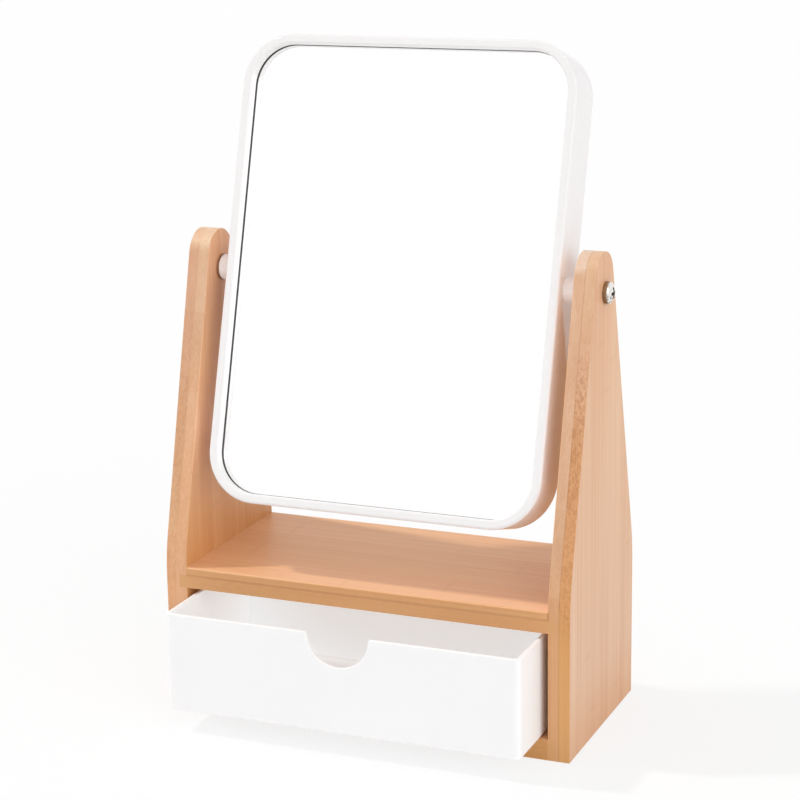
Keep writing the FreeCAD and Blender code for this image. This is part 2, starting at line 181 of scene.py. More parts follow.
def directions(start, end, count):
    """Unit vectors (cos, sin) at evenly spaced angles in degrees."""
    angle = np.radians(np.linspace(start, end, count))
    return np.stack([np.cos(angle), np.sin(angle)], axis=1)


def arc(centre, radius, start, end, count=8):
    """Points of an arc in a plane: centre plus radius times (cos, sin) of evenly spaced angles."""
    return np.array(centre) + radius * directions(start, end, count)


def rounded_outline(half_u, half_v, radius, per_corner, per_side):
    """Points and outward normals round a rectangle with rounded corners, anticlockwise.

    Each corner is a quarter circle about a centre one radius in from both sides, and each side
    carries evenly spaced points between two corners.
    """
    points, normals = [], []
    centres = [(half_u - radius, half_v - radius), (radius - half_u, half_v - radius),
               (radius - half_u, radius - half_v), (half_u - radius, radius - half_v)]
    for k, centre in enumerate(centres):
        normal = directions(90 * k, 90 * k + 90, per_corner)
        corner = np.array(centre) + radius * normal
        points.append(corner)
        normals.append(normal)
        following = np.array(centres[(k + 1) % 4]) + radius * normal[-1]
        share = np.linspace(0, 1, per_side + 2)[1:-1, None]
        points.append(corner[-1] * (1 - share) + following * share)
        normals.append(np.repeat(normal[-1:], per_side, axis=0))
    return np.concatenate(points), np.concatenate(normals)


def leaned(points):
    """Turns points from the mirror's upright frame about the pivot axis, the top to the back."""
    x, y, z = np.moveaxis(np.asarray(points, float), -1, 0)
    return np.stack([x, PIVOT_Y + y * math.cos(LEAN) + z * math.sin(LEAN),
                     PIVOT_Z - y * math.sin(LEAN) + z * math.cos(LEAN)], axis=-1)


# ---- Mirror pieces ----
def swept_piece(name, section, ring=False):
    """Piece of the mirror whose section is carried round the mirror's rounded outline.

    Section point (d, y) lies d inside the outline, measured along its normal, and at depth y. The
    section of a ring is closed. That of a plate is open, and its first and last line round the
    outline are closed flat.
    """
    outline, normal = rounded_outline(MIRROR_HALF_WIDTH, MIRROR_HALF_HEIGHT, MIRROR_CORNER,
                                      *MIRROR_POINTS)
    section = np.asarray(section, float)
    inset = outline[:, None, :] - section[None, :, 0, None] * normal[:, None, :]
    depth = np.broadcast_to(section[None, :, 1], inset.shape[:2])
    surface = np.stack([inset[..., 0], depth, inset[..., 1]], axis=-1)
    rows, columns = surface.shape[:2]
    faces = grid_faces(rows, columns, wrap_rows=True, wrap_columns=ring)
    if not ring:
        faces.append([i * columns for i in range(rows)])
        faces.append([i * columns + columns - 1 for i in range(rows)][::-1])
    return mesh_piece(name, leaned(surface), faces)


def frame_ring():
    """Moulded ring of the mirror, its section made of arcs and straight runs: lip with a rounded
    bead in front, straight side, rounded rear edge, ledge for the cover and inner side."""
    section = np.concatenate([
        [(BEZEL_WIDTH, GLASS_FRONT), (BEZEL_WIDTH, (GLASS_FRONT + MIRROR_FRONT + BEZEL_ROUND) / 2)],
        arc((BEZEL_WIDTH - BEZEL_ROUND, MIRROR_FRONT + BEZEL_ROUND), BEZEL_ROUND, 0, -90),
        arc((FRAME_ROUND, MIRROR_FRONT + FRAME_ROUND), FRAME_ROUND, -90, -180),
        [(0, y) for y in FRAME_SIDE_LINES],
        arc((FRAME_ROUND, MIRROR_REAR - FRAME_ROUND), FRAME_ROUND, 180, FRAME_ROUND_END),
        [(COVER_SEAT, MIRROR_REAR - LEDGE_DROP), (COVER_SEAT, COVER_FRONT),
         (FRAME_WALL, COVER_FRONT), (FRAME_WALL, GLASS_FRONT)],
    ])
    return swept_piece("frame_ring", section, ring=True)


def silvered_glass():
    """Mirror plate: a flat face with a small bevel, set back behind the lip as far as the silvering
    on the back of the glass appears."""
    face = GLASS_FRONT + SILVER_DEPTH
    return swept_piece("silvered_glass", [
        (GLASS_INSET + GLASS_BEVEL, face), (GLASS_INSET, face + GLASS_BEVEL),
        (GLASS_INSET, GLASS_FRONT + GLASS_THICKNESS)])


def shade_strip():
    """Thin black strip between lip and mirror plate, with a rectangle for a section. It is painted
    shade: it makes the gap under the lip show as a dark seam along the glass's edge.
    """
    inner = BEZEL_WIDTH + SHADE_STRIP_SHOWING
    front, rear = GLASS_FRONT + SHADE_STRIP_GAP, GLASS_FRONT + SILVER_DEPTH + SHADE_STRIP_GAP
    return swept_piece("shade_strip", [(inner, front), (inner, rear), (GLASS_INSET, rear),
                                      (GLASS_INSET, front)], ring=True)


def rear_cover():
    """Cover set into the rear of the ring, its outer edge rounded."""
    edge = arc((COVER_INSET + COVER_ROUND, COVER_REAR - COVER_ROUND), COVER_ROUND, 180, 90, count=6)
    return swept_piece("rear_cover", [(COVER_INSET, COVER_FRONT), *edge])


# ---- Pivot pieces, with side 1 on the right and -1 on the left ----
def turned_ring(name, section, side):
    """Closed section (x, r) turned about the pivot axis: (x, r cos a, r sin a)."""
    section = np.asarray(section, float)
    angle = np.linspace(0, 2 * math.pi, TURNED_POINTS, endpoint=False)[:, None]
    x = np.broadcast_to(section[None, :, 0], (TURNED_POINTS, len(section)))
    radius = section[None, :, 1]
    surface = np.stack([x, radius * np.cos(angle), radius * np.sin(angle)], axis=-1)
    faces = grid_faces(TURNED_POINTS, len(section), wrap_rows=True, wrap_columns=True)
    return mesh_piece(name + "_" + SIDE_NAMES[side], leaned(surface * (side, 1, 1)), faces)


def spacer(side):
    """Sleeve between ring and panel: a tube with its outer end rounded."""
    edge = arc((SPACER_OUTER_X - SPACER_ROUND, SPACER_RADIUS - SPACER_ROUND), SPACER_ROUND, 90, 0,
               count=10)
    return turned_ring("spacer", [
        (MIRROR_HALF_WIDTH, BORE_RADIUS), (MIRROR_HALF_WIDTH, SPACER_RADIUS),
        ((MIRROR_HALF_WIDTH + SPACER_OUTER_X) / 2, SPACER_RADIUS), *edge,
        (SPACER_OUTER_X, BORE_RADIUS)], side)


def fibre_washer(side):
    """Flat ring with slightly bevelled rims. Its brown rim, just wider than the spacer, is the
    washer's
    own colour and also painted shade: the dark ring where the spacer meets the panel.
    """
    inner_x, outer_x, bevel = SPACER_OUTER_X, WASHER_OUTER_X, WASHER_BEVEL
    return turned_ring("fibre_washer", [
        (inner_x, BORE_RADIUS), (inner_x, WASHER_RADIUS - bevel), (inner_x + bevel, WASHER_RADIUS),
        (outer_x - bevel, WASHER_RADIUS), (outer_x, WASHER_RADIUS - bevel), (outer_x, BORE_RADIUS)],
        side)


def head_height(y, z):
    """Outside of the screw's head at (y, z): a quarter ellipse over the rim, less the cross recess.

    The recess is two crossed slots whose floor rises linearly from the middle to the slots' ends.
    """
    r = np.hypot(y, z)
    dome = HEAD_RIM + (HEAD_HEIGHT - HEAD_RIM) * np.sqrt(np.clip(1 - (r / HEAD_RADIUS) ** 2, 0, 1))
    along, across = np.maximum(abs(y), abs(z)), np.minimum(abs(y), abs(z))
    depth = RECESS_DEPTH * np.clip(1 + RECESS_END - along / RECESS_HALF_SPAN, 0, 1)
    inside = (across < RECESS_HALF_SLOT + TOUCH) & (along < RECESS_HALF_SPAN + TOUCH)
    return dome - np.where(inside, depth, 0)


def screw(side):
    """Pan-head screw: a square grid with the cross recess, rings out to the rim, then the shank.

    Ring k blends the square's border with the rim's circle by its share of the way.
    """
    half = np.array(HEAD_LINES)
    lines = np.concatenate([-half[:0:-1], half])
    n = len(lines)
    y, z = np.meshgrid(lines, lines, indexing="ij")
    grid = np.stack([head_height(y, z), y, z], axis=-1).reshape(-1, 3)
    low, high = np.full(n - 1, lines[0]), np.full(n - 1, lines[-1])
    square = np.concatenate([
        np.column_stack([lines[:-1], low]), np.column_stack([high, lines[:-1]]),
        np.column_stack([lines[:0:-1], high]), np.column_stack([low, lines[:0:-1]])])
    circle = square / np.linalg.norm(square, axis=1, keepdims=True) * HEAD_RADIUS
    rings = []
    for share in np.sin(np.radians(np.linspace(0, 90, HEAD_RINGS))):
        place = square * (1 - share) + circle * share
        rings.append(np.column_stack([head_height(*place.T), place]))
    rings[-1][:, 0] = HEAD_RIM
    direction = circle / HEAD_RADIUS
    tip = TIP_X - HEAD_SEAT_X
    for x, r in ((HEAD_BEVEL, HEAD_RADIUS), (0, HEAD_RADIUS - HEAD_BEVEL), (0, SCREW_RADIUS),
                 (tip + TIP_LENGTH, SCREW_RADIUS), (tip, TIP_RADIUS)):
        rings.append(np.column_stack([np.full(len(direction), float(x)), direction * r]))
    rings = np.array(rings)
    rows, columns = rings.shape[:2]
    faces = grid_faces(n, n)
    faces += grid_faces(rows, columns, start=len(grid), wrap_columns=True)
    faces.append([len(grid) + (rows - 1) * columns + k for k in range(columns)])
    x, y, z = (np.concatenate([grid, rings.reshape(-1, 3)]) + (HEAD_SEAT_X, 0, 0)).T
    turn = math.radians(RECESS_TURN * side)
    spun = np.column_stack([x, y * math.cos(turn) - z * math.sin(turn),
                            y * math.sin(turn) + z * math.cos(turn)])
    return mesh_piece("screw_" + SIDE_NAMES[side], leaned(spun * (side, 1, 1)), faces,
                      SCREW_SHARP_ANGLE)


# ---- Drawer ----
def rim_line():
    """Rim of the front wall from left to right: points (x, z) and their normals into the open.

    A straight run, a small quarter round, a half circle below the rim, and the same mirrored.
    """
    reach = math.sqrt((NOTCH_RADIUS + NOTCH_SHOULDER) ** 2 - NOTCH_SHOULDER ** 2)
    dip = math.degrees(math.asin(NOTCH_SHOULDER / (NOTCH_RADIUS + NOTCH_SHOULDER)))
    straight = np.linspace(-DRAWER_HALF_WIDTH + DRAWER_CORNER, -reach, STRAIGHT_POINTS)[:-1]
    run = np.column_stack([straight, np.full(len(straight), DRAWER_TOP)])
    shoulder_normal = directions(90, dip, SHOULDER_POINTS)
    shoulder = np.array([-reach, DRAWER_TOP - NOTCH_SHOULDER]) + NOTCH_SHOULDER * shoulder_normal
    bowl_direction = directions(180 + dip, 270, BOWL_POINTS)[1:]
    bowl = np.array([0, DRAWER_TOP]) + NOTCH_RADIUS * bowl_direction
    left = np.concatenate([run, shoulder, bowl])
    normal = np.concatenate([np.tile((0.0, 1.0), (len(run), 1)), shoulder_normal, -bowl_direction])
    flip = np.array([-1, 1])
    return (np.concatenate([left, left[-2::-1] * flip]),
            np.concatenate([normal, normal[-2::-1] * flip]))


def moulded_drawer():
    """One-piece tray: a wall section carried round a rounded rectangle, with a notched front wall.

    Station s has an outline point, its outward normal, a rim point and the rim's own normal. The
    section runs from under the floor up the outside, over the rounded rim and down the inside.
    """
    half_length = (DRAWER_REAR_Y - DRAWER_FRONT_Y) / 2
    mid_y = (DRAWER_REAR_Y + DRAWER_FRONT_Y) / 2
    outline, normal = rounded_outline(DRAWER_HALF_WIDTH, half_length, DRAWER_CORNER, *DRAWER_POINTS)
    first, last = np.flatnonzero(normal[:, 1] < -1 + TOUCH)[[0, -1]]
    rim, rim_normal = rim_line()
    count = len(rim)
    base = np.column_stack([rim[:, 0], np.full(count, -half_length)])
    outline = np.concatenate([outline[:first], base, outline[last + 1:]])
    normal = np.concatenate([normal[:first], np.tile((0.0, -1.0), (count, 1)), normal[last + 1:]])
    top = np.full(len(outline), DRAWER_TOP)
    slide = np.zeros(len(outline))
    lift = np.ones(len(outline))
    top[first:first + count] = rim[:, 1]
    slide[first:first + count], lift[first:first + count] = rim_normal.T
    floor = DRAWER_BOTTOM + DRAWER_WALL
    bottom_edge = arc((DRAWER_BOTTOM_ROUND, DRAWER_BOTTOM + DRAWER_BOTTOM_ROUND),
                      DRAWER_BOTTOM_ROUND, 270, 180, count=7)
    floor_edge = arc((DRAWER_WALL + DRAWER_FLOOR_ROUND, floor + DRAWER_FLOOR_ROUND),
                     DRAWER_FLOOR_ROUND, 180, 270, count=7)
    over = np.concatenate([
        arc((DRAWER_RIM_ROUND, -DRAWER_RIM_ROUND), DRAWER_RIM_ROUND, 180, 90, count=6),
        arc((DRAWER_WALL - DRAWER_RIM_ROUND, -DRAWER_RIM_ROUND), DRAWER_RIM_ROUND, 90, 0, count=6)])

    def line(inset, height, from_rim=0.0, follow=1.0):
        """One line of the section, at a height for every station, that follows the notch."""
        place = outline - inset * normal
        place[:, 0] += follow * from_rim * slide
        return np.column_stack([place[:, 0], place[:, 1] + mid_y, height])

    def wall_lines(inset, start, from_rim, shares):
        """Lines of a wall, at shares of the way from a level height to just below the rim."""
        return [line(inset, start + (top + from_rim * lift - start) * share, from_rim, share)
                for share in shares]

    level = np.ones(len(outline))
    lines = [line(d, level * z) for d, z in bottom_edge]
    lines += wall_lines(0, bottom_edge[-1][1], over[0][1], DRAWER_WALL_LINES)
    lines += [line(d, top + e * lift, e) for d, e in over]
    lines += wall_lines(DRAWER_WALL, floor_edge[0][1], over[-1][1], DRAWER_WALL_LINES[::-1])
    lines += [line(d, level * z) for d, z in floor_edge]
    surface = np.array(lines)
    rows, columns = surface.shape[:2]
    faces = grid_faces(rows, columns, wrap_columns=True)
    faces.append(list(range(columns)))
    faces.append([(rows - 1) * columns + k for k in range(columns)])
    return mesh_piece("moulded_drawer", surface, faces)


# ---- Camera ----
CAMERA_PLACE = (399.13, -943.52, 414.57)
CAMERA_YAW, CAMERA_PITCH, CAMERA_ROLL = (math.radians(angle) for angle in (22.87, 14.59, -0.93))
CAMERA_LENS, CAMERA_SENSOR = 102.32, 36.0
CAMERA_NEAR, CAMERA_FAR = 0.05, 50.0   # in metres


def place_camera():
    """Camera that looks left by the yaw and down by the pitch, and leans by the roll.

    Forward follows from yaw and pitch. Right and up are the level pair across it, turned by the
    roll.
    """
    yaw, pitch, roll = CAMERA_YAW, CAMERA_PITCH, CAMERA_ROLL
    forward = np.array([-math.sin(yaw) * math.cos(pitch), math.cos(yaw) * math.cos(pitch),
                        -math.sin(pitch)])
    level = np.array([math.cos(yaw), math.sin(yaw), 0])
    upright = np.cross(level, forward)
    right = math.cos(roll) * level + math.sin(roll) * upright
    up = math.cos(roll) * upright - math.sin(roll) * level
    data = bpy.data.cameras.new("camera")
    data.lens, data.sensor_width = CAMERA_LENS, CAMERA_SENSOR
    data.clip_start, data.clip_end = CAMERA_NEAR, CAMERA_FAR
    camera = bpy.data.objects.new("camera", data)
    turn = Matrix((right, up, -forward)).transposed().to_4x4()
    camera.matrix_world = Matrix.Translation([c * MM for c in CAMERA_PLACE]) @ turn
    bpy.context.scene.collection.objects.link(camera)
    bpy.context.scene.camera = camera


# ---- Materials ----
COLOUR_A, COLOUR_B, MIXED = 6, 7, 2   # the colour sockets of a Mix node
SMOOTH = {"interpolation_type": "SMOOTHSTEP"}
BLACK, WHITE = (0, 0, 0, 1), (1, 1, 1, 1)
MIDDLE = (0.3, 0.7)                   # where nearly all of a noise's values lie


def linear(hex_colour):
    """Linear RGBA of an sRGB colour written as six hex digits."""
    values = [int(hex_colour[i:i + 2], 16) / 255 for i in (0, 2, 4)]
    return (*(v / 12.92 if v <= 0.04045 else ((v + 0.055) / 1.055) ** 2.4 for v in values), 1.0)


def node(tree, kind, links=(), out=0, **settings):
    """Adds a node, sets its settings, and fills its inputs with values or with other outputs, by
    name or in order. Gives back its output out, or the node itself where out is None."""
    made = tree.nodes.new("ShaderNode" + kind)
    for key, value in settings.items():
        setattr(made, key, value)
    for socket, value in links.items() if isinstance(links, dict) else enumerate(links):
        if isinstance(value, bpy.types.NodeSocket):
            tree.links.new(value, made.inputs[socket])
        else:
            made.inputs[socket].default_value = value
    return made if out is None else made.outputs[out]


def new_material(name):
    """Empty node material with a Principled shader wired to its output."""
    material = bpy.data.materials.new(name)
    material.use_nodes = True
    tree = material.node_tree
    tree.nodes.clear()
    shader = node(tree, "BsdfPrincipled", out=None)
    node(tree, "OutputMaterial", {"Surface": shader.outputs[0]}, None)
    return material, tree, shader


PER_METRE = 1000                       # features to a metre where there is one to a mm
# Bamboo's patterns: how many features to a mm across and along the fibres, then detail, offset and
# distortion of the noise. Fibres are drawn 0.6 mm wide, coarser than the real 0.2 mm, which
# wouldn't show. Streaks are 3 mm wide and clouds 30 mm. The figure of a slanting cut is 1.2 by
# 3 mm, in patches of 80 mm. Glue lines wander over 80 mm and node marks bow over 6 mm.
BAMBOO_PATTERNS = {
    "fibre": (1.7, 0.012, 3.0, 0.0, 0.0), "streak": (0.30, 0.004, 2.0, 7.0, 0.0),
    "cloud": (0.03, 0.006, 1.0, 31.0, 0.0), "slant": (0.8, 0.32, 1.0, 13.0, 1.2),
    "patchy": (0.012, 0.012, 0.0, 41.0, 0.0), "wander": (0.05, 0.012, 0.0, 23.0, 0.0),
    "bow": (0.16, 0.0, 0.0, 53.0, 0.0)}
PATTERN_ROUGHNESS = 0.55
STREAK_SHARE, STRIP_SHARE, CLOUD_SHARE = 0.5, 0.22, 0.35   # how much each lightens the wood
NODE_SPACING = 260.0                   # mm between the joints of a bamboo cane
WANDER, BOW = 1.2, 0.8                 # mm that a glue line wanders and a node mark bows
GLUE_LINE = (0.05, 0.4, 0.22)          # full up to, gone from so many mm, and how dark it is
NODE_MARK = (0.4, 1.8, 0.14)           # likewise
PALE_STREAK, FINE_FIBRE, DARK_FIBRE = "F6EADF", "EBD3BD", "A3642F"
FINE_FIBRE_SHARE = 0.35
PLANED = (0.35, 0.75)                  # how squarely a face lies, from cut edge to planed face
STREAK_RANGE, FIBRE_RANGE = (0.38, 0.72), (0.35, 0.7)
FIGURE_RANGE, PATCH_RANGE, PATCH_LEAST = (0.42, 0.62), (0.40, 0.55), 0.65
FIGURE_FADE = 8.0                      # mm either side of the figure's lowest and highest place
HOUSING_FADE = 0.1                     # mm either side of the inner plies' face
LACQUER_ROUGHNESS, LACQUER_IOR = (0.38, 0.50), 1.5
FIBRE_RELIEF, RELIEF_STRENGTH = 0.05, 0.3   # mm high and how much of it shows


def tone_by_height(tree, height, stops):
    """Colour that runs from stop to stop, each a height above the table in mm and an sRGB tone."""
    blend = node(tree, "ValToRGB", {"Fac": height}, None)
    elements = blend.color_ramp.elements
    elements.remove(elements[1])
    elements[0].position, elements[0].color = stops[0][0] / STAND_HEIGHT, linear(stops[0][1])
    for level, tone in stops[1:]:
        elements.new(level / STAND_HEIGHT).color = linear(tone)
    return blend.outputs["Color"]


def bamboo(name, grain, across, face, edge, strip, seed, figure=(0.2, 0, STAND_HEIGHT),
           fineness=1.0, joint=None, housed=None):
    """Laminated bamboo under a thin satin lacquer.

    Bamboo is split into strips, planed and glued side by side, so a board shows parallel strips of
    slightly different tone, long fine fibres, a hairline of glue between strips, here and there the
    faint cross mark of a node, and mottled figure where a cut crosses the fibres at a slant.

    grain and across are unit vectors and strip is the strips' width in mm. face and edge are tones
    by height, for the planed face and for cut edges. figure is how strongly a cut edge is mottled
    and between which heights, and fineness is how much the fine fibres show. joint is a glue line
    between two layers: its axis, its distance from the middle in mm, its half width in mm and how
    dark it is. housed is the tone of a board's ends inside the panels.
    """
    material, tree, shader = new_material(name)
    place = node(tree, "TexCoord", out="Object")
    grain, across = np.array(grain, float), np.array(across, float)
    through = np.abs(np.cross(grain, across))
    noise = {}
    for word, (per_mm_across, per_mm_along, detail, offset, distortion) in BAMBOO_PATTERNS.items():
        scale = (per_mm_across * (across + through) + per_mm_along * grain) * PER_METRE
        moved = node(tree, "Mapping", {"Vector": place, "Scale": scale,
                                       "Location": (seed + offset, seed, offset)})
        noise[word] = node(tree, "TexNoise", {
            "Vector": moved, "Scale": 1.0, "Detail": detail, "Roughness": PATTERN_ROUGHNESS,
            "Distortion": distortion}, "Fac")
    across_place, grain_place, level = [
        node(tree, "VectorMath", (place, tuple(axis)), "Value", operation="DOT_PRODUCT")
        for axis in (across, grain, UP)]

    # strips, each with its own tone, and the hairline between them
    waved = node(tree, "Math", (noise["wander"], WANDER * MM, across_place),
                 operation="MULTIPLY_ADD")
    lot = node(tree, "Math", (waved, strip * MM), operation="SNAP")
    lot = node(tree, "Math", (lot, PER_METRE, seed), operation="MULTIPLY_ADD")
    strip_tone = node(tree, "TexWhiteNoise", {"W": lot}, "Value", noise_dimensions="1D")
    full, gone, depth = GLUE_LINE
    hairline = node(tree, "Math", (waved, strip * MM), operation="PINGPONG")
    hairline = node(tree, "MapRange", (hairline, full * MM, gone * MM, depth, 0.0), **SMOOTH)

    # a cut edge takes up more lacquer and has a tone of its own; it shows no glue between strips
    facing = node(tree, "VectorMath", (node(tree, "NewGeometry", out="Normal"), tuple(through)),
                  "Value", operation="DOT_PRODUCT")
    facing = node(tree, "Math", (facing,), operation="ABSOLUTE")
    flat = node(tree, "MapRange", (facing, *PLANED), **SMOOTH)
    height = node(tree, "Math", (level, STAND_HEIGHT * MM), operation="DIVIDE")
    # the tones by height hold the wood's tone and, in some stops, painted highlight and painted
    # light
    base = node(tree, "Mix", {0: flat, COLOUR_A: tone_by_height(tree, height, edge),
                              COLOUR_B: tone_by_height(tree, height, face)}, MIXED,
                data_type="RGBA")

    # streaks, strips and clouds lighten it, and fine fibres darken it a little
    lighter = node(tree, "Math", (noise["streak"], STREAK_SHARE), operation="MULTIPLY")
    for source, weight in ((strip_tone, STRIP_SHARE), (noise["cloud"], CLOUD_SHARE)):
        more = node(tree, "Math", (source, weight), operation="MULTIPLY")
        lighter = node(tree, "Math", (lighter, more), operation="ADD")
    streaky = node(tree, "MapRange", (lighter, *STREAK_RANGE))
    fine = node(tree, "MapRange", (noise["fibre"], *FIBRE_RANGE, 0.0, FINE_FIBRE_SHARE * fineness))
    for share, tone in ((streaky, PALE_STREAK), (fine, FINE_FIBRE)):
        base = node(tree, "Mix", {0: share, COLOUR_A: base, COLOUR_B: linear(tone)}, MIXED,
                    data_type="RGBA", blend_type="MULTIPLY")

    # one node to a strip and length of NODE_SPACING: a thin curved mark across the strip
    bowed = node(tree, "Math", (noise["bow"], BOW * MM, grain_place), operation="MULTIPLY_ADD")
    shifted = node(tree, "Math", (strip_tone, 3 * NODE_SPACING * MM, bowed),
                   operation="MULTIPLY_ADD")
    from_node = node(tree, "Math", (shifted, NODE_SPACING / 2 * MM), operation="PINGPONG")
    full, gone, depth = NODE_MARK
    mark = node(tree, "MapRange", (from_node, full * MM, gone * MM, depth, 0.0), **SMOOTH)
    mark = node(tree, "Math", (mark, noise["fibre"]), operation="MULTIPLY")
    dark = node(tree, "Math", (hairline, mark), operation="ADD")
    dark = node(tree, "Math", (dark, flat), operation="MULTIPLY")

    # figure, on cut edges and between its lowest and its highest place
    strength, lowest, highest = figure
    crossed = node(tree, "MapRange", (noise["slant"], *FIGURE_RANGE, 0.0, strength), **SMOOTH)
    for faded in (
            node(tree, "MapRange", (noise["patchy"], *PATCH_RANGE, PATCH_LEAST, 1.0), **SMOOTH),
            node(tree, "MapRange", (level, (lowest - FIGURE_FADE) * MM,
                                    (lowest + FIGURE_FADE) * MM), **SMOOTH),
            node(tree, "MapRange", (level, (highest + FIGURE_FADE) * MM,
                                    (highest - FIGURE_FADE) * MM), **SMOOTH),
            node(tree, "Math", (1.0, flat), operation="SUBTRACT")):
        crossed = node(tree, "Math", (crossed, faded), operation="MULTIPLY")
    dark = node(tree, "Math", (dark, crossed), operation="ADD")

    if joint:
        axis, distance, half_width, depth = joint
        off = node(tree, "VectorMath", (place, axis), "Value", operation="DOT_PRODUCT")
        off = node(tree, "Math", (off,), operation="ABSOLUTE")
        off = node(tree, "Math", (off, distance * MM), operation="SUBTRACT")
        off = node(tree, "Math", (off,), operation="ABSOLUTE")
        line = node(tree, "MapRange", (off, half_width * MM * 0.5, half_width * MM * 1.5, depth,
                                       0.0), **SMOOTH)
        dark = node(tree, "Math", (dark, line), operation="ADD")
    coloured = node(tree, "Mix", {0: dark, COLOUR_A: base, COLOUR_B: linear(DARK_FIBRE)}, MIXED,
                    data_type="RGBA")
    if housed:
        inside = node(tree, "Math", (grain_place,), operation="ABSOLUTE")
        inside = node(tree, "MapRange", (inside, (INNER_X - HOUSING_FADE) * MM,
                                         (INNER_X + HOUSING_FADE) * MM))
        coloured = node(tree, "Mix", {0: inside, COLOUR_A: coloured, COLOUR_B: linear(housed)},
                        MIXED, data_type="RGBA")
    roughness = node(tree, "MapRange", (noise["fibre"], *MIDDLE, *LACQUER_ROUGHNESS))
    bump = node(tree, "Bump", {"Height": noise["fibre"], "Strength": RELIEF_STRENGTH,
                               "Distance": FIBRE_RELIEF * MM})
    tree.links.new(coloured, shader.inputs["Base Color"])
    tree.links.new(roughness, shader.inputs["Roughness"])
    tree.links.new(bump, shader.inputs["Normal"])
    shader.inputs["IOR"].default_value = LACQUER_IOR
    return material


PLASTIC_CLOUD = 40.0                   # mm across
PLASTIC_TINT = 0.985                   # how dark the clouds get
PLASTIC_UNEVEN = 0.08                  # share by which roughness varies with them
PLASTIC_IOR = 1.53
# painted light: the nylon spacers' glow keeps them pale in the panels' shade
SPACER_PAINTED_GLOW = 0.12


def moulded_plastic(name, colour, roughness, texture_mm, depth_mm, painted_glow=0.0):
    """Injection-moulded plastic: one even colour with the faintest clouding, and the mould's fine
    texture as bump, texture_mm across and depth_mm deep. The texture is drawn about ten times
    coarser than it is, or it wouldn't show. A faint white glow, painted light, keeps a small pale
    piece bright where it lies in shade."""
    material, tree, shader = new_material(name)
    place = node(tree, "TexCoord", out="Object")
    cloud = node(tree, "TexNoise", {"Vector": place, "Scale": 1 / (PLASTIC_CLOUD * MM),
                                    "Detail": 2.0}, "Fac")
    tint = node(tree, "MapRange", (cloud, *MIDDLE, PLASTIC_TINT, 1.0))
    shade = node(tree, "Mix", {0: tint, COLOUR_A: BLACK, COLOUR_B: linear(colour)}, MIXED,
                 data_type="RGBA")
    texture = node(tree, "TexNoise", {"Vector": place, "Scale": 1 / (texture_mm * MM),
                                      "Detail": 2.0, "Distortion": 0.2}, "Fac")
    bump = node(tree, "Bump", {"Height": texture, "Strength": 1.0, "Distance": depth_mm * MM})
    gloss = node(tree, "MapRange", (cloud, *MIDDLE, roughness * (1 - PLASTIC_UNEVEN),
                                    roughness * (1 + PLASTIC_UNEVEN)))
    tree.links.new(shade, shader.inputs["Base Color"])
    tree.links.new(gloss, shader.inputs["Roughness"])
    tree.links.new(bump, shader.inputs["Normal"])
    shader.inputs["IOR"].default_value = PLASTIC_IOR
    shader.inputs["Emission Strength"].default_value = painted_glow
    return material


# Strength of the drawer's glow, painted light that keeps its sides and its inside bright where
# they lie in shade. Outside: on the front wall and on the side walls. Inside, for walls and floor:
# near the front, deep inside, and between how many mm behind the stand's front it grows.
FACE_PAINTED_GLOW, SIDE_PAINTED_GLOW = 0.07, 0.15
INSIDE_PAINTED_GLOW, FLOOR_PAINTED_GLOW = (0.17, 0.295, 2, 32), (0.08, 0.285, 38, 50)
PAINTED_GLOW_TONE = "E9F7FD"
COVERED_FADE = 1.5                     # mm in front of the stand over which the outside's glow ends
OUTER_SKIN, INNER_SKIN = 0.6, 1.9      # mm into the wall, where outside turns to inside


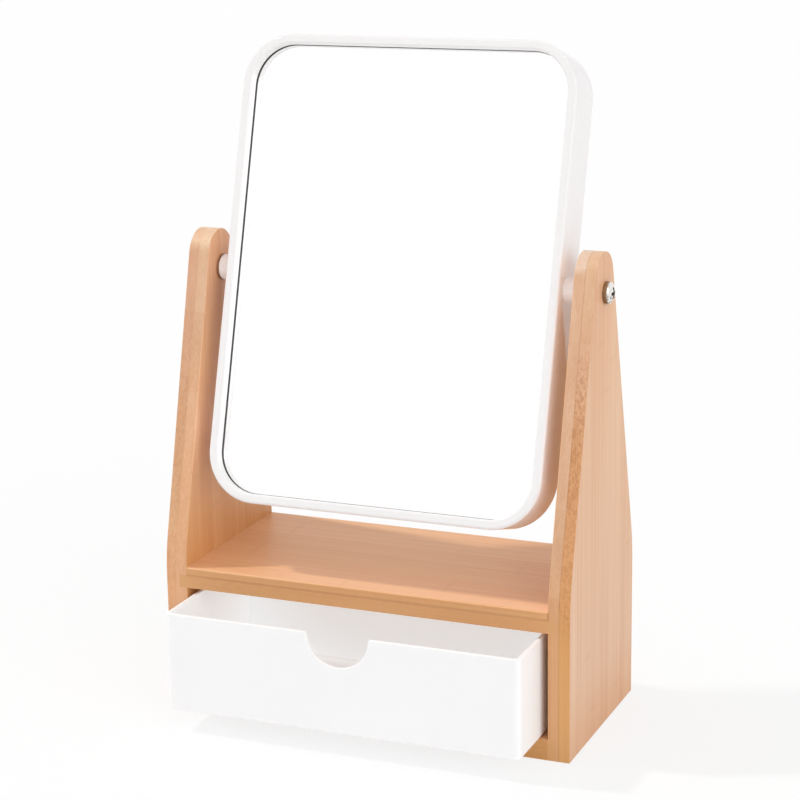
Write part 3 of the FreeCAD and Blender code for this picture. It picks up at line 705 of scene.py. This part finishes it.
def milky_plastic_painted_glow(name, colour, roughness):
    """Thin-walled milky polypropylene with painted light: a glow of its own brightens the tray's
    outside where it stands out of the stand, and its inside, most deep under the shelf, so that its
    inside stays bright although the shelf covers it."""
    material = moulded_plastic(name, colour, roughness, texture_mm=0.7, depth_mm=0.008)
    tree = material.node_tree
    shader = next(n for n in tree.nodes if n.type == "BSDF_PRINCIPLED")
    place = node(tree, "TexCoord", out="Object")
    normal = node(tree, "NewGeometry", out="Normal")
    _, length, height = node(tree, "SeparateXYZ", (place,), None).outputs

    # depth below the nearest outer face, at the sides, the ends and the bottom
    middle = (0, (DRAWER_FRONT_Y + DRAWER_REAR_Y) / 2 * MM, 0)
    half_size = (DRAWER_HALF_WIDTH * MM, (DRAWER_REAR_Y - DRAWER_FRONT_Y) / 2 * MM, 1)
    off = node(tree, "VectorMath", (place, middle), operation="SUBTRACT")
    off = node(tree, "VectorMath", (off,), operation="ABSOLUTE")
    depth = node(tree, "VectorMath", (half_size, off), operation="SUBTRACT")
    from_side, from_end, _ = node(tree, "SeparateXYZ", (depth,), None).outputs
    from_bottom = node(tree, "Math", (height, DRAWER_BOTTOM * MM), operation="SUBTRACT")
    nearest = node(tree, "Math", (from_side, from_end), operation="MINIMUM")
    nearest = node(tree, "Math", (nearest, from_bottom), operation="MINIMUM")

    facing = node(tree, "VectorMath", (normal, BACK), "Value", operation="DOT_PRODUCT")
    facing = node(tree, "Math", (facing,), operation="ABSOLUTE")
    outside = node(tree, "MapRange", (facing, 0.0, 1.0, SIDE_PAINTED_GLOW, FACE_PAINTED_GLOW))
    outside = node(tree, "MapRange", (length, (FRONT_Y - COVERED_FADE) * MM, FRONT_Y * MM, outside,
                                      0.0))
    wall, floor = [node(tree, "MapRange", (length, (FRONT_Y + first) * MM, (FRONT_Y + last) * MM,
                                           near, far))
                   for near, far, first, last in (INSIDE_PAINTED_GLOW, FLOOR_PAINTED_GLOW)]
    level = node(tree, "VectorMath", (normal, UP), "Value", operation="DOT_PRODUCT")
    inside = node(tree, "MapRange", (level, 0.0, 1.0, wall, floor))
    # painted light: the glow, outside where the tray stands out and inside under the shelf
    painted_glow = node(tree, "MapRange", (nearest, OUTER_SKIN * MM, INNER_SKIN * MM, outside, inside),
                **SMOOTH)
    shader.inputs["Emission Color"].default_value = linear(PAINTED_GLOW_TONE)
    tree.links.new(painted_glow, shader.inputs["Emission Strength"])
    return material


HAZE_SIZE, HAZE_RANGE, HAZE_ROUGHNESS = 30.0, (0.4, 0.8), 0.01


def silvering():
    """Silvered float glass: a near-perfect reflector with a trace of haze in wide clouds."""
    material, tree, shader = new_material("silvered float glass")
    film = node(tree, "TexNoise", {"Vector": node(tree, "TexCoord", out="Object"),
                                   "Scale": 1 / (HAZE_SIZE * MM), "Detail": 3.0}, "Fac")
    haze = node(tree, "MapRange", (film, *HAZE_RANGE, 0.0, HAZE_ROUGHNESS))
    shader.inputs["Base Color"].default_value = WHITE
    shader.inputs["Metallic"].default_value = 1.0
    tree.links.new(haze, shader.inputs["Roughness"])
    return material


STEEL_RINGS = 0.25                     # mm between the marks of turning, drawn coarser than real
STEEL_ROUGHNESS = (0.10, 0.22)
STEEL_DARK, STEEL_LIGHT = "E4E1DC", "F1EFEC"
# painted shade and reflection on the screws: brownish dark on the rim, dull spots on the head below
# its middle, and dark in the cross recess
RIM_PAINTED_SHADE, LOWER_PAINTED_SHADE, RECESS_PAINTED_SHADE = "A08E79", "8A7A6E", "4A3F38"
RIM_SHADE_FADE = (0.2, 0.9)                 # mm above the rim's top over which the rim's painted shade ends
SPOT_SIZE, SPOT_RANGE, SPOT_STRENGTH = 1.3, (0.42, 0.56), 0.75
SPOT_FADE = (-0.9, 0.3)                # mm above the head's middle over which the spots of painted shade end
RECESS_SHADE_RADIUS, RECESS_SHADE_STRENGTH = 2.7, 0.85
RECESS_SHADE_FADE = (0.6, 0.4)                 # mm below the head's top over which the recess's painted shade ends


def plated_steel():
    """Nickel-plated steel: bright and smooth, with faint rings left by turning about the axis.
    Shade
    and reflection are painted on: the rim is brownish dark down to the panel, the head is dull in
    spots below its middle, and the cross recess is dark."""
    material, tree, shader = new_material("nickel-plated steel")
    place = node(tree, "TexCoord", out="Object")
    centred = node(tree, "Mapping", {"Vector": place,
                                     "Location": (0, -PIVOT_Y * MM, -PIVOT_Z * MM)})
    radius = node(tree, "VectorMath", (centred, (0, 1, 1)), operation="MULTIPLY")
    radius = node(tree, "VectorMath", (radius,), "Value", operation="LENGTH")
    side, _, above = node(tree, "SeparateXYZ", (centred,), None).outputs
    side = node(tree, "Math", (side,), operation="ABSOLUTE")
    rings = node(tree, "TexNoise", {"W": radius, "Scale": 1 / (STEEL_RINGS * MM), "Detail": 2.0},
                 "Fac", noise_dimensions="1D")
    tone = node(tree, "Mix", {0: rings, COLOUR_A: linear(STEEL_DARK),
                              COLOUR_B: linear(STEEL_LIGHT)}, MIXED, data_type="RGBA")

    # painted shade and reflection on the rim
    rim_top, face = HEAD_SEAT_X + HEAD_RIM, HEAD_SEAT_X + HEAD_HEIGHT
    rim = node(tree, "MapRange", (side, (rim_top + RIM_SHADE_FADE[0]) * MM,
                                  (rim_top + RIM_SHADE_FADE[1]) * MM, 1.0, 0.0))
    # painted shade in spots below the head's middle
    spots = node(tree, "TexNoise", {"Vector": place, "Scale": 1 / (SPOT_SIZE * MM), "Detail": 1.0},
                 "Fac")
    spots = node(tree, "MapRange", (spots, *SPOT_RANGE, 0.0, SPOT_STRENGTH))
    below = node(tree, "MapRange", (above, SPOT_FADE[0] * MM, SPOT_FADE[1] * MM, 1.0, 0.0))
    dull = node(tree, "Math", (spots, below), operation="MULTIPLY")
    # painted shade in the cross recess
    near = node(tree, "Math", (radius, RECESS_SHADE_RADIUS * MM), operation="LESS_THAN")
    sunk = node(tree, "MapRange", (side, (face - RECESS_SHADE_FADE[0]) * MM, (face - RECESS_SHADE_FADE[1]) * MM,
                                   RECESS_SHADE_STRENGTH, 0.0))
    recess_shade = node(tree, "Math", (near, sunk), operation="MULTIPLY")
    for share, over in ((rim, RIM_PAINTED_SHADE), (dull, LOWER_PAINTED_SHADE), (recess_shade, RECESS_PAINTED_SHADE)):
        tone = node(tree, "Mix", {0: share, COLOUR_A: tone, COLOUR_B: linear(over)}, MIXED,
                    data_type="RGBA")
    gloss = node(tree, "MapRange", (rings, 0.0, 1.0, *STEEL_ROUGHNESS))
    tree.links.new(tone, shader.inputs["Base Color"])
    tree.links.new(gloss, shader.inputs["Roughness"])
    shader.inputs["Metallic"].default_value = 1.0
    return material


BLOTCH_DEPTH, BLOTCH_RELIEF = 0.02, 0.6   # mm deep, and how much of it shows


def mottled(name, dark, light, size_mm, roughness, metallic=0.0, depth_mm=BLOTCH_DEPTH):
    """Even material with two close tones in blotches size_mm across, and bump that follows them."""
    material, tree, shader = new_material(name)
    blotch = node(tree, "TexNoise", {"Vector": node(tree, "TexCoord", out="Object"),
                                     "Scale": 1 / (size_mm * MM), "Detail": 4.0}, "Fac")
    tone = node(tree, "Mix", {0: blotch, COLOUR_A: linear(dark), COLOUR_B: linear(light)}, MIXED,
                data_type="RGBA")
    bump = node(tree, "Bump", {"Height": blotch, "Strength": BLOTCH_RELIEF,
                               "Distance": depth_mm * MM})
    tree.links.new(tone, shader.inputs["Base Color"])
    tree.links.new(bump, shader.inputs["Normal"])
    shader.inputs["Roughness"].default_value = roughness
    shader.inputs["Metallic"].default_value = metallic
    return material


# ---- Light, world and floor ----
WORLD_LIGHT = 0.655                    # strength of the surroundings as light; seen, they have 1
# the way the light travels, its strength, and how wide the lamp looks in degrees
KEY_LAMP = ((0.845, 0.12, -1.0), 1.2, 3.5)
FILL_LAMP = ((-0.75, 0.52, -0.35), 0.92, 55.0)
FLOOR_PAPER, FLOOR_WHITE = "F6F6F6", 0.78   # FLOOR_WHITE is the share that shows plain white
FLOOR_HALF, FLOOR_DROP = 4.0, 0.0002        # in metres


def seen_directly(tree):
    """1 for rays from the camera, from a mirror or through glass, 0 for light that falls on
    things."""
    path = node(tree, "LightPath", out=None).outputs
    first = node(tree, "Math", (path["Is Camera Ray"], path["Is Glossy Ray"]), operation="MAXIMUM")
    return node(tree, "Math", (first, path["Is Transmission Ray"]), operation="MAXIMUM")


def add_lamp(name, travel, strength, angle):
    """Far lamp whose light travels along one direction, from a disc so many degrees wide."""
    data = bpy.data.lights.new(name, "SUN")
    data.energy, data.angle = strength, math.radians(angle)
    lamp = bpy.data.objects.new(name, data)
    direction = -np.array(travel) / np.linalg.norm(travel)
    lamp.rotation_euler = Vector(direction).to_track_quat("Z", "Y").to_euler()
    bpy.context.scene.collection.objects.link(lamp)


def light_studio():
    """White surroundings, one small high lamp from the left and a wide soft one from the right."""
    world = bpy.data.worlds.new("white studio")
    bpy.context.scene.world = world
    world.use_nodes = True
    tree = world.node_tree
    tree.nodes.clear()
    strength = node(tree, "MapRange", (seen_directly(tree), 0.0, 1.0, WORLD_LIGHT, 1.0))
    sky = node(tree, "Background", {"Color": WHITE, "Strength": strength})
    node(tree, "OutputWorld", {"Surface": sky}, None)
    add_lamp("key", *KEY_LAMP)
    add_lamp("fill", *FILL_LAMP)


def lay_floor():
    """Plain floor, partly lit paper and partly plain white, so that the shadow stays light."""
    mesh = bpy.data.meshes.new("floor")
    half = FLOOR_HALF
    mesh.from_pydata([(-half, -half, 0), (half, -half, 0), (half, half, 0), (-half, half, 0)], [],
                     [(0, 1, 2, 3)])
    floor = bpy.data.objects.new("floor", mesh)
    floor.location.z = -FLOOR_DROP
    bpy.context.scene.collection.objects.link(floor)
    material = bpy.data.materials.new("white paper floor")
    material.use_nodes = True
    tree = material.node_tree
    tree.nodes.clear()
    paper = node(tree, "BsdfDiffuse", {"Color": linear(FLOOR_PAPER)})
    white = node(tree, "Emission", {"Color": WHITE, "Strength": 1.0})
    share = node(tree, "Math", (seen_directly(tree), FLOOR_WHITE), operation="MULTIPLY")
    node(tree, "OutputMaterial", {"Surface": node(tree, "MixShader", (share, paper, white))}, None)
    mesh.materials.append(material)


# ---- Dressing ----
# tones by height above the table in mm, of planed faces and of cut edges. The cut edges' last
# stops, pale up to 219 mm, are a painted highlight where the panels' rounded tops catch the light,
# and the left inner face's lighter stops from 110 to 195 mm, palest at 135, are painted light where
# the mirror's frame shades that face
OUTER_FACE = ((0, "E2B084"), (14, "E5B892"), (32, "E8C09F"), (150, "E8BE9A"), (210, "E6B892"))
LEFT_INNER_FACE_PAINTED_LIGHT = ((70, "E0A970"), (110, "E5B585"), (135, "FDCCA6"), (165, "F2C093"),
                   (195, "E4B088"))
RIGHT_OUTER_EDGE_PAINTED_TOP = ((30, "E2AF72"), (60, "E0A96C"), (95, "DAA16E"), (140, "DAA678"),
                    (180, "DFB190"), (200, "E4C1A0"), (215, "E4C1A0"), (219, "E5C3A2"))
LEFT_OUTER_EDGE_PAINTED_TOP = ((60, "E7B286"), (100, "DBAC83"), (190, "DCB091"), (215, "DCB091"),
                   (219, "E7C3A2"))
RIGHT_INNER_EDGE_PAINTED_TOP = ((60, "DFAE7E"), (95, "D9AD8A"), (140, "E1B999"), (215, "E1B999"),
                    (219, "ECD4C2"))
LEFT_INNER_EDGE_PAINTED_TOP = ((60, "E5B288"), (135, "E6B68F"), (180, "DFB795"), (215, "DFB795"),
                   (219, "E9C8A8"))
RIGHT_INNER_FACE, BOARD_FACE, BACK_FACE = ((0, "FCC48E"),), ((0, "F4C092"),), ((0, "EFC59E"),)
BASE_EDGE, SHELF_EDGE, BACK_EDGE = ((0, "D49D5F"),), ((0, "DFAA75"),), ((0, "E5AB77"),)
HOUSED_END = "D6A06A"
PLY_JOINT = (RIGHT, PLY_JOINT_X, 0.2, 0.32)
SHELF_JOINT = (UP, SHELF_JOINT_Z, 0.6, 0.26)
# for each board: material's name, grain, across, face, edge, strip, seed, figure, fineness, joint
# and housed, as bamboo() takes them
BOARDS = {
    "side_panel_right_outer": ("bamboo outer ply", UP, BACK, OUTER_FACE, RIGHT_OUTER_EDGE_PAINTED_TOP, 9.0,
                               3.0, (0.42, 62, 178), 1.0, PLY_JOINT),
    "side_panel_left_outer": ("bamboo outer ply, pale edge", UP, BACK, OUTER_FACE,
                              LEFT_OUTER_EDGE_PAINTED_TOP, 9.0, 4.0, (0.16, 60, 190)),
    "side_panel_right_inner": ("bamboo inner ply", UP, BACK, RIGHT_INNER_FACE,
                               RIGHT_INNER_EDGE_PAINTED_TOP, 9.0, 11.0, (0.10, 60, 190), 1.0, PLY_JOINT),
    "side_panel_left_inner": ("bamboo inner ply, warm edge", UP, BACK, LEFT_INNER_FACE_PAINTED_LIGHT,
                              LEFT_INNER_EDGE_PAINTED_TOP, 9.0, 12.0, (0.10, 60, 190)),
    "base_board": ("bamboo base board", RIGHT, BACK, BOARD_FACE, BASE_EDGE, 18.0, 5.0,
                   (0.07, -20, STAND_HEIGHT), 0.5, None, HOUSED_END),
    "shelf_board": ("bamboo shelf board", RIGHT, BACK, BOARD_FACE, SHELF_EDGE, 18.0, 6.0,
                    (0.07, 0, STAND_HEIGHT), 0.5, SHELF_JOINT, HOUSED_END),
    "back_board": ("bamboo back board", RIGHT, UP, BACK_FACE, BACK_EDGE, 9.0, 17.0)}


def wear(piece, material):
    """Gives every slot of an object's mesh this material, held by the object."""
    if not piece.material_slots:
        piece.data.materials.append(None)
    for slot in piece.material_slots:
        slot.link = "OBJECT"
        slot.material = material


def dress(piece, body, slot, material, *replaced):
    """Gives a new piece its material, its body and the solids whose place it takes. slot is not
    used.
    """
    wear(piece, material)
    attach(piece, body)
    if replaced:
        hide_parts(*replaced)


def dress_all(nodes):
    """Makes every new piece and gives each piece its material."""
    for board, wood in BOARDS.items():
        wear(nodes[board], bamboo(*wood))
    # foam is dull with pits of 0.8 mm, and turned brass is warm and bright with a soft sheen
    wear(nodes["foam_pad"], mottled("grey polyethylene foam", "3A3A3C", "4A4A4C", size_mm=0.8,
                                    roughness=0.9, depth_mm=0.3))
    brass = mottled("turned brass", "B08D4A", "C9A45C", size_mm=2.0, roughness=0.32, metallic=1.0)
    # the frame shines and is all but smooth, and nylon and the drawer have a satin skin
    gloss_white = moulded_plastic("glossy white ABS", "F1EEEE", roughness=0.05, texture_mm=1.6,
                                  depth_mm=0.001)
    # the nylon's glow is painted light that keeps the spacers pale in shade
    nylon = moulded_plastic("white nylon", "F4F1F1", roughness=0.25, texture_mm=1.0,
                            depth_mm=0.002, painted_glow=SPACER_PAINTED_GLOW)
    # the drawer's glow is painted light on its shaded sides and inside
    satin_white = milky_plastic_painted_glow("milky polypropylene", "F1EFEF", roughness=0.38)
    steel = plated_steel()
    # fibre is brown and dense like leather, and the black strip, painted shade under the mirror's
    # lip, is nearly matt; their blotches and the brass's are drawn 1 to 2 mm wide, coarser than
    # real
    fibre = mottled("vulcanised fibre", "8A6044", "A37856", size_mm=1.2, roughness=0.7)
    black_shade = mottled("black strip of painted shade", "0C0C0D", "161617", size_mm=1.0, roughness=0.6)

    dress(moulded_drawer(), "drawer", "drawer_plastic", satin_white, "drawer_tray")
    dress(frame_ring(), "mirror", "frame_plastic", gloss_white, "mirror_frame")
    dress(silvered_glass(), "mirror", "mirror_glass", silvering(), "mirror_glass")
    # the black strip is painted shade in the gap under the lip
    dress(shade_strip(), "mirror", "foam", black_shade)
    dress(rear_cover(), "mirror", "frame_plastic", gloss_white, "back_cover")
    for side, word in SIDE_NAMES.items():
        wear(nodes["threaded_insert_" + word], brass)
        dress(spacer(side), "mirror", "frame_plastic", nylon, "pivot_spacer_" + word)
        dress(fibre_washer(side), "mirror", "fibre", fibre, "friction_washer_" + word)
        dress(screw(side), "mirror", "screw_steel", steel, "pivot_screw_" + word)


def main():
    """Loads the solids, dresses and lights them."""
    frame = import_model()
    dress_all(frame["nodes"])
    bpy.context.scene.view_settings.view_transform = "Standard"
    place_camera()
    light_studio()
    lay_floor()


main()
